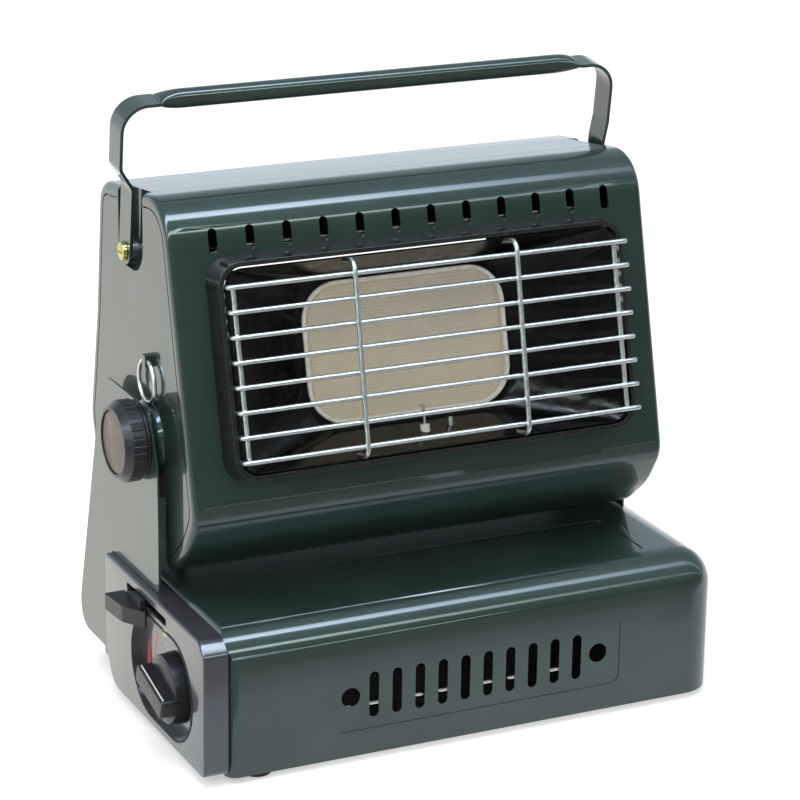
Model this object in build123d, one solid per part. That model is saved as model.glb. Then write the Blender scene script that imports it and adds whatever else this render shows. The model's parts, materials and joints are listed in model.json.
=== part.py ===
from build123d import *
import math
import os

os.makedirs("parts", exist_ok=True)

# Portable gas heater: a tilting radiant head held between two sheet ears on a low steel base.
# Working axes while modelling, in mm: X runs left to right across the middle of the base,
# Y runs back from the base's front face, Z runs up from the bottom edge of the base sheet.

SHEET = 1.2
BASE_LEFT = -152.5
BASE_RIGHT = 174.0
BASE_BACK = 213.0
BASE_TOP = 89.0
FOOT_HEIGHT = 4.0
PANEL_LEFT = -167.5
PANEL_TOP = 85.5
WELL_DEPTH = 6.0
KNOB_Y = 55.5
KNOB_Z = 37.5
KNOB_TURN = 14.0
BASE_VENTS = 10
BASE_VENT_PITCH = 14.93
EAR_OUT = 162.5
EAR_IN = EAR_OUT - SHEET
TILT_Y = 114.0
TILT_Z = 172.5
HEAD_SIDE = 154.5
HEAD_IN = HEAD_SIDE - SHEET
LEAN = math.degrees(math.atan(0.25))
COVER_SEAM = 125.0
POCKET_FRONT = 121.0
POCKET_BACK = 163.0
POCKET_LOW = 267.0
HANDLE_Y = 150.0
HANDLE_Z = 277.0
HANDLE_LEAN = 7.0
HANDLE_TOP = 370.0
GRIP_LEFT = -122.5
GRIP_RIGHT = 120.0
GRIP_FLAT = 16.0
STRAP_HALF = 8.8
STRAP_THICK = 2.0
LEFT_FOOT = 155.5
RIGHT_FOOT = 158.0
CARTRIDGE_R = 34.0
CARTRIDGE_Y = 150.0
CARTRIDGE_Z = 43.0
HEAD_VENTS = 12
HEAD_VENT_PITCH = 23.18
WINDOW_HALF = 132.6
PLAQUE_DEPTH = 27.0
MIXER_DEPTH = 52.0
MIXER_LEVEL = -5.5
WIRE_R = 1.5
BAR_COUNT = 8
BAR_PITCH = 14.4
BAR_TOP = 42.9
BAR_DEPTH = -17.8
BAR_RIGHT = 131.5
UPRIGHT_X = 123.6
CROSS_X = (-50.6, 54.6)
CROSS_MIDDLE = -8.5
CROSS_TILT = 1.05
HOOK_LOW = -64.0
HOOK_HIGH = 50.8
DOOR_AXIS_Y = 209.6
DOOR_AXIS_Z = 13.0
BOLT_R = 4.0
BOLT_HEX = 7.5
PIPE_X = -135.5
UPPER_PIPE_X = -127.0
PIPE_R = 3.0
RUNNING = 0.05

parts = {}


def outline(corners):
    """Closed outline through (u, v, radius) corners."""
    joints = []
    for i, (u, v, radius) in enumerate(corners):
        corner = Vector(u, v, 0)
        last = corners[i - 1]
        after = corners[(i + 1) % len(corners)]
        to_last = (Vector(last[0], last[1], 0) - corner).normalized()
        to_next = (Vector(after[0], after[1], 0) - corner).normalized()
        if radius == 0:
            joints.append((corner, None, corner))
            continue
        half = math.radians(to_last.get_angle(to_next) / 2)
        reach = radius / math.tan(half)
        inward = (to_last + to_next).normalized()
        middle = corner + inward * (radius / math.sin(half) - radius)
        joints.append((corner + to_last * reach, middle, corner + to_next * reach))
    edges = []
    for i, (start, middle, end) in enumerate(joints):
        if middle is not None:
            edges.append(Edge.make_three_point_arc(start, middle, end))
        follow = joints[(i + 1) % len(joints)][0]
        if (follow - end).length > 1e-4:
            edges.append(Edge.make_line(end, follow))
    return Face(Wire(edges))


def rectangle(u0, u1, v0, v1, radius=0.0):
    """Rectangle with equal corner radii."""
    return outline([(u0, v0, radius), (u1, v0, radius), (u1, v1, radius), (u0, v1, radius)])


def along_x(face, x0, x1):
    """Extrusion along X of a face drawn in (y, z)."""
    return extrude(Plane.YZ.offset(x0) * face, x1 - x0, dir=(1, 0, 0))


def along_y(face, y0, y1):
    """Extrusion along Y of a face drawn in (x, z)."""
    return extrude(Plane((0, y1, 0), (1, 0, 0), (0, -1, 0)) * face, y1 - y0, dir=(0, -1, 0))


def along_z(face, z0, z1):
    """Extrusion along Z of a face drawn in (x, y)."""
    return extrude(Plane.XY.offset(z0) * face, z1 - z0, dir=(0, 0, 1))


def block(x0, x1, y0, y1, z0, z1):
    """Box between two corners."""
    size = Box(x1 - x0, y1 - y0, z1 - z0)
    return Pos((x0 + x1) / 2, (y0 + y1) / 2, (z0 + z1) / 2) * size


def rod_x(y, z, radius, x0, x1):
    """Round bar along X."""
    return Pos((x0 + x1) / 2, y, z) * Rot(0, 90, 0) * Cylinder(radius, x1 - x0)


def rod_y(x, z, radius, y0, y1):
    """Round bar along Y."""
    return Pos(x, (y0 + y1) / 2, z) * Rot(90, 0, 0) * Cylinder(radius, y1 - y0)


def rod_z(x, y, radius, z0, z1):
    """Round bar along Z."""
    return Pos(x, y, (z0 + z1) / 2) * Cylinder(radius, z1 - z0)


def turned_x(y, z, points):
    """Solid turned about an X axis from (x, radius) points."""
    closed = [(points[0][0], 0)] + points + [(points[-1][0], 0)]
    face = Face(Wire.make_polygon([Vector(x, r, 0) for x, r in closed], close=True))
    return Pos(0, y, z) * revolve(face, Axis.X)


def slot_y(x, z, width, height, y0, y1):
    """Upright round-ended slot cutter through a sheet that faces Y."""
    face = rectangle(x - width / 2, x + width / 2, z - height / 2, z + height / 2, width * 0.499)
    return along_y(face, y0, y1)


def hexagon_x(y, z, radius, x0, x1):
    """Hexagon head along X, with its corners at the radius."""
    corners = []
    for k in range(6):
        turn = math.radians(60 * k)
        corners.append((y + radius * math.cos(turn), z + radius * math.sin(turn), 0))
    return along_x(outline(corners), x0, x1)


def mirror_x(shape):
    """Right-hand copy of a left-hand piece."""
    return mirror(shape, Plane.YZ)


def group(shapes):
    """Several separate solids as one node."""
    solids = []
    for shape in shapes:
        solids.extend(shape.solids())
    return Compound(children=solids)


# ---------------------------------------------------------------- base sheet
def base_form(inset):
    """Base body: drawn right front corner, sharper left side, rounded back."""
    left = BASE_LEFT + inset
    right = BASE_RIGHT - inset
    back = BASE_BACK - inset
    top = BASE_TOP - inset
    bend = 22 - inset
    side = outline([(inset, -1, 0), (back, -1, 0), (back, top, 8 - inset), (inset, top, bend)])
    plan_left = outline([(left, inset, 7 - inset), (0, inset, 0),
                         (0, back, 0), (left, back, 12 - inset)])
    front_left = outline([(left, -1, 0), (0, -1, 0), (0, top, 0), (left, top, 5 - inset)])
    west = along_z(plan_left, -1, top) & along_x(side, left, 0) & along_y(front_left, inset, back)
    east = block(0, right, inset, back, -1, top)
    corner = east.edges().filter_by(Axis.Z).sort_by(lambda e: e.center().X - e.center().Y)[-1]
    east = fillet(corner, bend + 0.6)
    over = east.faces().sort_by(Axis.Z)[-1].edges()
    over = [e for e in over if e.center().X > 1 and e.center().Y < back - 1]
    east = fillet(over, bend)
    plan_right = outline([(0, inset, 0), (right, inset, 0), (right, back, 12 - inset), (0, back, 0)])
    east = east & along_z(plan_right, -1, top) & along_x(side, 0, right)
    return west + east


shell = base_form(0) - base_form(SHEET)
shell -= block(-200, 200, -10, 230, -5, 0)
# vent field pressed into the front, ten slots and a round hole at each end
shell -= along_y(rectangle(-85.7, 103.5, 16, 60, 6), -1, 0.5)
for i in range(BASE_VENTS):
    shell -= slot_y(-60.3 + BASE_VENT_PITCH * i, 37.2, 6.2, 28.5, -2, 4)
for x in (-75.3, 88.6):
    shell -= rod_y(x, 37.6, 6, -2, 4)
# shallow pressed field on the top, cartridge opening at the back, control side opening
shell -= along_z(rectangle(-51, 133, 24, 81, 5), BASE_TOP - 0.5, BASE_TOP + 1)
shell -= along_y(rectangle(-86, 146, 8.8, 78, 2), 208, 215)
shell -= rod_x(KNOB_Y, KNOB_Z, 15, -155, -150)
shell -= block(-155, -150, 55, 125, 70, 80)
# passages in the top for the gas pipe and for the right ear
shell -= rod_z(PIPE_X, TILT_Y, 7, 80, 95)
shell -= block(EAR_IN - 0.8, EAR_OUT + 0.8, 100.5, 204, 60, 95)
# slotted row low on the right side and on the back
for i in range(6):
    shell -= along_x(rectangle(40 + 22 * i, 54 + 22 * i, 22, 27, 2.4), 168, 176)
parts["base_shell"] = shell

pan_face = rectangle(BASE_LEFT + SHEET, BASE_RIGHT - SHEET, SHEET, BASE_BACK - SHEET, 24)
pan = along_z(pan_face, 0, SHEET)
for i in range(7):
    pan -= along_z(rectangle(-60 + 24 * i, -46 + 24 * i, 60, 64, 1.9), -1, 3)
parts["base_floor_pan"] = pan

FOOT_PLACES = [(-130, 12), (146, 34), (-130, 190), (146, 190)]
feet = []
for x, y in FOOT_PLACES:
    foot = rod_z(x, y, 9, -FOOT_HEIGHT, 0)
    foot = chamfer(foot.edges().group_by(Axis.Z)[0], 1)
    feet.append(foot - rod_z(x, y, 3.6, -FOOT_HEIGHT, -FOOT_HEIGHT + 2.2))
parts["rubber_feet"] = group(feet)

# ---------------------------------------------------------------- control side
panel_edge = [(0, 2, 6), (150, 2, 18), (160, 26, 8), (160, PANEL_TOP, 3), (8, PANEL_TOP, 8), (0, 78, 6)]
panel = along_x(outline(panel_edge), PANEL_LEFT, BASE_LEFT)
panel = fillet(panel.faces().sort_by(Axis.X)[0].edges(), 1.6)
panel_room = [(2.5, 4.5, 4), (148.5, 4.5, 16), (157.5, 26, 6), (157.5, 83, 2), (9, 83, 6), (2.5, 77, 4)]
panel -= along_x(outline(panel_room), PANEL_LEFT + 2.5, BASE_LEFT + 1)
well_rear = rectangle(19, 114, 9, 71, 30.98)
well_wall = rectangle(17, 116, 7, 73, 32.98)
panel += along_x(well_wall, PANEL_LEFT + 2.5, PANEL_LEFT + WELL_DEPTH + 2)
panel -= along_x(well_rear, PANEL_LEFT - 1, PANEL_LEFT + WELL_DEPTH)
panel -= rod_x(KNOB_Y, KNOB_Z, 6, PANEL_LEFT, -150)
panel -= along_x(rectangle(58, 122, 75.2, 80.2, 2.4), PANEL_LEFT - 1, PANEL_LEFT + 4)
parts["control_panel"] = panel

trim = along_x(rectangle(17.6, 115.4, 7.6, 72.4, 32.38), PANEL_LEFT - 0.4, PANEL_LEFT)
trim -= along_x(well_rear, PANEL_LEFT - 2, PANEL_LEFT + 1)
parts["dial_rim"] = trim

knob = turned_x(KNOB_Y, KNOB_Z, [(-171.5, 18.5), (-170.5, 20.5), (-162.2, 21.5)])
wing = along_x(rectangle(-20.5, 20.5, -6, 6, 2.5), -180, -165)
wing = fillet(wing.faces().sort_by(Axis.X)[0].edges(), 1.2)
turn_knob = Location((0, KNOB_Y, KNOB_Z), (KNOB_TURN, 0, 0))
knob += turn_knob * wing
knob -= rod_x(KNOB_Y, KNOB_Z, 4.05, -170, -160)
pointer = turn_knob * block(-178.5, -177.6, -18, 18, 5.7, 6.3)
parts["control_knob"] = knob - pointer
parts["knob_pointer"] = pointer
parts["valve_spindle"] = rod_x(KNOB_Y, KNOB_Z, 4, -170, -138)

beak = [(-181, 124.5, 1), (-178.6, 101, 4), (-168.2, 84, 1), (-168.2, 124.5, 0)]
lever = along_z(outline(beak), 64, 74)
lever += block(-171.2, -168.2, 90, 106, 70, 80.2)
lever += block(-170, -150, 92, 104, 76, 79.4)
lever += block(-159, -156, 86, 110, 73.6, 82)
parts["lock_lever"] = lever

# ---------------------------------------------------------------- gas side inside the base
valve = rod_x(KNOB_Y, KNOB_Z, 13, -151, -120)
valve += block(-141, -127, 50, 165, 30, 52)
valve += rod_x(CARTRIDGE_Y, CARTRIDGE_Z, 22, -130, -80)
valve += rod_x(CARTRIDGE_Y, CARTRIDGE_Z, 26, -88, -80)
valve += block(-141, -127, 95, 125, SHEET, 30)
valve += rod_z(PIPE_X, TILT_Y, 6, 50, 58)
valve -= rod_x(KNOB_Y, KNOB_Z, 4 + RUNNING, -152, -136)
valve -= rod_x(CARTRIDGE_Y, CARTRIDGE_Z, 17, -90, -79)
valve -= rod_x(CARTRIDGE_Y, CARTRIDGE_Z, 5, -98, -79)
valve -= rod_z(PIPE_X, TILT_Y, 3, 52, 60)
parts["gas_valve_body"] = valve
parts["piezo_igniter"] = rod_x(KNOB_Y, KNOB_Z, 7, -120, -88) + rod_x(KNOB_Y, KNOB_Z, 2, -88, -80)

parts["gas_pipe_lower"] = rod_z(PIPE_X, TILT_Y, PIPE_R, 52, 166.5) - rod_z(PIPE_X, TILT_Y, 2, 51, 170)
swivel = rod_x(TILT_Y, TILT_Z, 7, -141, -131) + rod_z(PIPE_X, TILT_Y, 4.5, 162, 168)
swivel -= rod_x(TILT_Y, TILT_Z, PIPE_R + RUNNING, -139, -130)
swivel -= rod_z(PIPE_X, TILT_Y, PIPE_R, 160, 166.5)
parts["pipe_swivel_lower"] = swivel

cradles = []
for x in (-48, 62):
    saddle = along_x(outline([(104, SHEET, 0), (196, SHEET, 0), (190, 34, 4), (110, 34, 4)]), x, x + 3)
    saddle -= rod_x(CARTRIDGE_Y, CARTRIDGE_Z, CARTRIDGE_R + 0.3, x - 1, x + 4)
    cradles.append(saddle)
parts["cartridge_cradle"] = group(cradles)

can_line = [(-68, 17), (-66, 31), (-60, CARTRIDGE_R), (107, CARTRIDGE_R), (113, 31), (114, 26)]
can_room = [(-67, 16), (-65, 30), (-59, CARTRIDGE_R - 1), (106, CARTRIDGE_R - 1), (112, 30), (113, 25)]
can = turned_x(CARTRIDGE_Y, CARTRIDGE_Z, can_line) - turned_x(CARTRIDGE_Y, CARTRIDGE_Z, can_room)
parts["gas_cartridge"] = can
collar = rod_x(CARTRIDGE_Y, CARTRIDGE_Z, 15, -74, -68) - rod_x(CARTRIDGE_Y, CARTRIDGE_Z, 10, -75, -69)
parts["cartridge_collar"] = collar
parts["cartridge_valve"] = rod_x(CARTRIDGE_Y, CARTRIDGE_Z, 4, -78, -69)

# ---------------------------------------------------------------- rear door on its hinge pin
door = along_y(rectangle(-85, 145, 10.2, 77, 5), BASE_BACK - SHEET, BASE_BACK)
door -= along_y(rectangle(0, 60, 62, 70, 3.9), 200, 220)
for x in (-70, 118):
    door += block(x, x + 12, DOOR_AXIS_Y, BASE_BACK - SHEET, DOOR_AXIS_Z - 1.2, DOOR_AXIS_Z + 1.2)
    door += rod_x(DOOR_AXIS_Y, DOOR_AXIS_Z, 2.8, x, x + 12)
    door -= rod_x(DOOR_AXIS_Y, DOOR_AXIS_Z, 1.5 + RUNNING, x - 1, x + 13)
for x in (-78, 134):
    door -= block(x - 0.7, x + 4.7, 205, 215, 8, 16)
parts["cartridge_door"] = door
pull = along_y(rectangle(-2, 62, 60, 72, 5.5), 206.8, BASE_BACK - SHEET)
pull -= along_y(rectangle(0, 60, 62, 70, 3.9), 208, 215)
parts["door_pull"] = pull
parts["door_hinge_pin"] = rod_x(DOOR_AXIS_Y, DOOR_AXIS_Z, 1.5, -76, 136)
brackets = []
for x in (-78, 134):
    bracket = block(x, x + 4, 203, 211, SHEET, 16.5)
    bracket -= rod_x(DOOR_AXIS_Y, DOOR_AXIS_Z, 1.5, -76, 136)
    brackets.append(bracket)
parts["door_hinge_brackets"] = group(brackets)

# ---------------------------------------------------------------- ears
ear_edge = [(82, 86.2, 3), (161, 86.2, 4), (161, 17, 0), (218, 17, 14), (217.6, 36, 30),
            (187.5, 146, 30), (174, 196, 20), (96, 196, 9), (82.5, 163, 20)]
ear = along_x(outline(ear_edge), -EAR_OUT, -EAR_IN)
ear += block(-EAR_OUT, -157.5, 82, 83.2, 101, 146)
ear += block(-EAR_OUT, BASE_LEFT, 161, 162.2, 17, 84)
ear += block(-EAR_OUT, BASE_LEFT, 162, 202, 17, 18.2)
ear -= rod_x(TILT_Y, TILT_Z, BOLT_R + RUNNING, -170, -150)
parts["left_ear"] = ear

right_edge = [(103, SHEET, 0), (200, SHEET, 0), (203, 86, 0), (187.5, 146, 30), (174, 196, 20),
              (96, 196, 9), (84, 163, 20), (84, 125, 30), (103, 92, 12)]
right_ear = along_x(outline(right_edge), EAR_IN, EAR_OUT)
right_ear += block(152, EAR_OUT, 108, 196, SHEET, 2 * SHEET)
right_ear -= rod_x(TILT_Y, TILT_Z, BOLT_R + RUNNING, 150, 170)
parts["right_ear"] = right_ear

washers = []
for side in (-1, 1):
    low = min(side * EAR_IN, side * (EAR_IN - 0.6))
    washer = rod_x(TILT_Y, TILT_Z, 16, low, low + 0.6)
    washer -= rod_x(TILT_Y, TILT_Z, BOLT_R + 0.3, -170, 170)
    washers.append(washer)
parts["friction_washers"] = group(washers)

# ---------------------------------------------------------------- head sheets
head_edge = [(88.625, 322.5, 28), (43.625, 142.5, 20), (58, 119, 50), (84, 96.5, 40), (114, 92.8, 90),
             (160, 104, 60), (205, 119, 14), (217, 157, 30), (203.6, 226, 200), (194, 309.7, 16)]
head_outer = along_x(outline(head_edge), -HEAD_SIDE, HEAD_SIDE)
head_ends = head_outer.faces().sort_by(Axis.X)
head_outer = fillet(head_ends[0].edges() + head_ends[-1].edges(), 4)
head_room = along_x(offset(outline(head_edge), -SHEET), -HEAD_IN, HEAD_IN)
room_ends = head_room.faces().sort_by(Axis.X)
head_room = fillet(room_ends[0].edges() + room_ends[-1].edges(), 2.8)
head_box = head_outer - head_room
seam = offset(outline(head_edge), -7)
side_rim = offset(outline(head_edge), -8.0)
lap_out = offset(outline(head_edge), -4.2)
lap_in = offset(outline(head_edge), -10)
head_sheet = head_box
for x0, x1 in ((-160, -150), (150, 160)):
    head_sheet -= along_x(seam, x0, x1)
to_head = Location((0, 65.5, 230), (-LEAN, 0, 0))

front = head_sheet & block(-200, 200, 0, COVER_SEAM - 0.3, 0, 400)
front -= block(-200, 200, 86, 200, 80, 125)
front -= to_head * along_y(rectangle(-WINDOW_HALF, WINDOW_HALF, -70, 59, 14), -8, 8)
for i in range(HEAD_VENTS):
    front -= to_head * slot_y(-127 + HEAD_VENT_PITCH * i, 69.5, 5.5, 14.5, -4, 6)
front -= to_head * along_y(rectangle(-150, 112, -90, -80.5, 4), -2, 0.4)
for x0, x1 in ((-160, -146.7), (146.7, 160)):
    front -= block(x0, x1, POCKET_FRONT - 0.1, POCKET_BACK + 0.1, 300, 330)
parts["head_front_shell"] = front

back = head_sheet & block(-200, 200, COVER_SEAM, 230, 126, 400)
back += head_sheet & block(-200, 200, 146, 230, 80, 126)
for x0, x1 in ((-160, -146.7), (146.7, 160)):
    back -= block(x0, x1, POCKET_FRONT - 0.1, POCKET_BACK + 0.1, 300, 330)
for i in range(9):
    back -= block(-110, 110, 190, 230, 178 + 9 * i, 181 + 9 * i)
parts["head_rear_cover"] = back

side = head_box & along_x(side_rim, -160, -HEAD_IN)
side += along_x(lap_out, -HEAD_IN, -HEAD_IN + 0.8) - along_x(lap_in, -160, -150)
pocket_edge = [(POCKET_FRONT, POCKET_LOW, 18), (POCKET_BACK, POCKET_LOW, 11),
               (POCKET_BACK, 330, 0), (POCKET_FRONT, 330, 0)]
pocket_room = offset(outline(pocket_edge), -SHEET)
tray = along_x(outline(pocket_edge), -HEAD_SIDE, -146.8) - along_x(pocket_room, -160, -148)
tray = tray & head_outer
side = side - along_x(outline(pocket_edge), -160, -150) + tray
dish = [(-160.5, 18.5), (-159.9, 19.8), (-156.4, 22.6), (-HEAD_SIDE, 23.5), (-HEAD_IN, 23.5)]
boss = turned_x(TILT_Y, TILT_Z, dish)
boss -= turned_x(TILT_Y, TILT_Z, [(-159.3, 18), (-156, 21.2), (-154, 22.3), (-150, 22.3)])
side = side - rod_x(TILT_Y, TILT_Z, 23, -160, -150) + boss
side -= rod_x(TILT_Y, TILT_Z, BOLT_R, -165, -150)
parts["head_left_side"] = side
parts["head_right_side"] = mirror_x(side)

# ---------------------------------------------------------------- window, reflector and burner
frame_wall = loft([Plane.XZ.offset(13) * rectangle(-131, 131, -69.5, 56.5, 14),
                   Plane.XZ * rectangle(-134, 134, -71.5, 60.5, 16)])
frame_room = loft([Plane.XZ.offset(14) * rectangle(-128, 128, -66.5, 53.5, 12),
                   Plane.XZ.offset(-3) * rectangle(-131, 131, -68.5, 57.5, 14)])
window = frame_wall - frame_room
neck = along_y(rectangle(-132.4, 132.4, -69.8, 58.8, 14), -0.5, 2.4)
neck -= along_y(rectangle(-131, 131, -68.4, 57.4, 12), -3, 4)
flange = along_y(rectangle(-138, 138, -75, 64, 16), 1.3, 2.5)
flange -= along_y(rectangle(-131, 131, -68.4, 57.4, 12), -3, 4)
parts["window_frame"] = to_head * (window + neck + flange)

cone = loft([Plane.XZ.offset(11) * rectangle(-127.5, 127.5, -66, 53, 12),
             Plane.XZ.offset(-24.5) * rectangle(-71, 71, -52, 41, 25)])
cone_room = loft([Plane.XZ.offset(11.01) * rectangle(-126.5, 126.5, -65, 52, 11),
                  Plane.XZ.offset(-25) * rectangle(-69.5, 69.5, -50.5, 39.5, 24)])
reflector = cone - cone_room
plate = along_y(rectangle(-76, 76, -58, 47, 20), 24.5, 25.5)
plate -= along_y(rectangle(-66.9, 66.9, -48.4, 37.4, 24), 20, 30)
reflector += plate
for x in CROSS_X:
    for level in (HOOK_LOW, HOOK_HIGH):
        hook_x = x + (level - CROSS_MIDDLE) * math.tan(math.radians(CROSS_TILT))
        reflector -= rod_y(hook_x, level, WIRE_R + 0.15, -12, 12)
reflector -= rod_z(0, 10, 3, -61, -53)
reflector -= rod_z(18, 12, 1.6, -59, -51)
parts["reflector"] = to_head * reflector

rim = along_y(rectangle(-66.8, 66.8, -48.3, 37.3, 24), 23.5, PLAQUE_DEPTH)
rim -= along_y(rectangle(-64, 64, -45.5, 34.5, 21), 20, 30)
parts["plaque_rim"] = to_head * rim
plaque = along_y(rectangle(-66, 66, -51, 40, 20), PLAQUE_DEPTH, PLAQUE_DEPTH + 13)
parts["ceramic_plaque"] = to_head * plaque

burner = along_y(rectangle(-68.4, 68.4, -53.4, 42.4, 22), 25.5, 64)
burner -= along_y(rectangle(-67.2, 67.2, -52.2, 41.2, 21), 20, 62.8)
parts["burner_box"] = to_head * burner

# the mixing tube lies level inside the head, behind the burner
tube_line = Location((0, MIXER_DEPTH, MIXER_LEVEL), (0, 90, 0))
mixer = tube_line * Pos(0, 0, -91.2) * Cylinder(11, 45.6)
mixer += tube_line * Pos(0, 0, -117) * Cone(14, 11, 6)
mixer -= tube_line * Pos(0, 0, -90) * Cylinder(9.6, 80)
parts["mixing_tube"] = to_head * mixer
jet = Pos(UPPER_PIPE_X, MIXER_DEPTH, MIXER_LEVEL) * Box(12, 12, 14)
jet += tube_line * Pos(0, 0, -118.5) * Cylinder(3, 5)
jet = to_head * jet
parts["jet_holder"] = jet
lean = math.radians(LEAN)
mixer_z = 230 - MIXER_DEPTH * math.sin(lean) + MIXER_LEVEL * math.cos(lean)
parts["gas_pipe_upper"] = rod_z(UPPER_PIPE_X, TILT_Y, PIPE_R, TILT_Z + 6, mixer_z - 6) - jet
upper = rod_x(TILT_Y, TILT_Z, 7, -130.6, -122)
upper += rod_x(TILT_Y, TILT_Z, PIPE_R, -138, -130.6)
upper -= rod_z(UPPER_PIPE_X, TILT_Y, PIPE_R, TILT_Z + 6, TILT_Z + 10)
parts["pipe_swivel_upper"] = upper
parts["heat_shield"] = to_head * along_y(rectangle(-125, 125, 64.8, 65.8, 0.4), 2.4, 60)

electrode = to_head * (rod_z(0, 10, 0.8, -53, -41) + rod_y(0, -42, 0.6, 10, 16))
parts["igniter_electrode"] = electrode
parts["electrode_ceramic"] = to_head * rod_z(0, 10, 3, -61, -53)
parts["thermocouple"] = to_head * rod_z(18, 12, 1.6, -59, -51)

# ---------------------------------------------------------------- wire guard
bars = []
for i in range(BAR_COUNT):
    level = BAR_TOP - BAR_PITCH * i
    bar = rod_x(BAR_DEPTH, level, WIRE_R, -UPRIGHT_X, BAR_RIGHT)
    start = Vector(-UPRIGHT_X, BAR_DEPTH, level)
    middle = Vector(-UPRIGHT_X - 2.12132, BAR_DEPTH + 0.87868, level)
    end = Vector(-UPRIGHT_X - 3, BAR_DEPTH + 3, level)
    turn_in = Edge.make_three_point_arc(start, middle, end)
    path = Wire([turn_in, Edge.make_line(end, end + Vector(0, 3.76, 0))])
    bar += sweep(Plane(origin=start, z_dir=(-1, 0, 0)) * Circle(WIRE_R), path=path)
    bars.append(bar)
parts["guard_bars"] = group([to_head * bar for bar in bars])
uprights = []
for x in (-UPRIGHT_X + 0.1, UPRIGHT_X - 0.1):
    uprights.append(to_head * rod_z(x, BAR_DEPTH + 2 * WIRE_R, WIRE_R, -59, 44))
parts["guard_uprights"] = group(uprights)
cross = []
for x in CROSS_X:
    depth = BAR_DEPTH - 2 * WIRE_R
    wire = rod_z(0, depth, WIRE_R, HOOK_LOW + 6 - CROSS_MIDDLE, HOOK_HIGH - 6 - CROSS_MIDDLE)
    for level, turn in ((HOOK_HIGH - CROSS_MIDDLE, 1), (HOOK_LOW - CROSS_MIDDLE, -1)):
        start = Vector(0, depth, level - turn * 6)
        middle = Vector(0, depth + 1.75736, level - turn * 1.75736)
        end = Vector(0, depth + 6, level)
        hook = Edge.make_three_point_arc(start, middle, end)
        path = Wire([hook, Edge.make_line(end, end + Vector(0, -BAR_DEPTH, 0))])
        wire += sweep(Plane(origin=start, z_dir=(0, 0, turn)) * Circle(WIRE_R), path=path)
    cross.append(to_head * Pos(x, 0, CROSS_MIDDLE) * Rot(0, CROSS_TILT, 0) * wire)
parts["guard_cross_wires"] = group(cross)

# ---------------------------------------------------------------- tilt bolts and angle knob
bolt = rod_x(TILT_Y, TILT_Z, BOLT_R, -172, -159.3)
bolt += hexagon_x(TILT_Y, TILT_Z, BOLT_HEX, -159.3, -HEAD_SIDE)
parts["left_tilt_bolt"] = bolt
right_bolt = rod_x(TILT_Y, TILT_Z, BOLT_R, 159.3, 163)
cap_nut = [(162.8, 9), (164.5, 9), (164.5, 7.2), (168, 7.2), (170.4, 5), (171, 2)]
right_bolt += turned_x(TILT_Y, TILT_Z, cap_nut)
right_bolt += hexagon_x(TILT_Y, TILT_Z, BOLT_HEX, HEAD_SIDE, 159.3)
parts["right_tilt_bolt"] = right_bolt

cap_line = [(-178, 20.6), (-173.5, 24.5), (-165.5, 24.5), (-164.5, 23.5), (-162.9, 23.5)]
angle = turned_x(TILT_Y, TILT_Z, cap_line)
for i in range(36):
    turn = math.radians(10 * i)
    flute_y = TILT_Y + 25.3 * math.cos(turn)
    flute_z = TILT_Z + 25.3 * math.sin(turn)
    angle -= rod_x(flute_y, flute_z, 1.1, -174.5, -166)
angle -= rod_x(TILT_Y, TILT_Z, 19.2, -179, -176.6)
angle -= rod_x(TILT_Y, TILT_Z, BOLT_R + RUNNING, -173, -160)
parts["angle_knob"] = angle
disc = turned_x(TILT_Y, TILT_Z, [(-177.4, 17.8), (-177.1, 18.9), (-176.6, 18.9)])
parts["angle_knob_disc"] = disc

# ---------------------------------------------------------------- lifting eye on the left side
ring = Pos(-157.2, 111, 208.6) * Rot(0, 90, 0) * Torus(12.7, 1.25)
parts["wire_eye"] = ring
hanger = block(-159.3, -HEAD_SIDE, 108.5, 113.5, 217.7, 224.7) - ring
parts["eye_hanger"] = hanger.solids().sort_by(SortBy.VOLUME)[-1]

# ---------------------------------------------------------------- folding handle
turn_handle = Location((0, HANDLE_Y, HANDLE_Z), (HANDLE_LEAN, 0, 0))


def strap(foot, shoulder, top_end):
    """Flat bar bent at the shoulder and over into the grip; distances count outwards on the left."""
    under = HANDLE_TOP - STRAP_THICK
    line = outline([(-foot, 269, 0), (STRAP_THICK - foot, 269, 0), (STRAP_THICK - foot, 318.5, 6),
                    (STRAP_THICK - shoulder, 331, 6), (STRAP_THICK - shoulder, under, 15),
                    (-top_end, under, 0), (-top_end, HANDLE_TOP, 0), (-shoulder, HANDLE_TOP, 17),
                    (-shoulder, 330.5, 6), (-foot, 318, 6)])
    front_y = HANDLE_Y - STRAP_HALF
    back_y = HANDLE_Y + STRAP_HALF
    bar = along_y(line, front_y, back_y)
    bar = bar & along_x(rectangle(front_y, back_y, 269, 400, STRAP_HALF - 0.1), -170, -100)
    bar -= rod_x(HANDLE_Y, HANDLE_Z, 3 + RUNNING, -162, -150)
    return turn_handle * (Location((0, -HANDLE_Y, -HANDLE_Z)) * bar)


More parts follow.
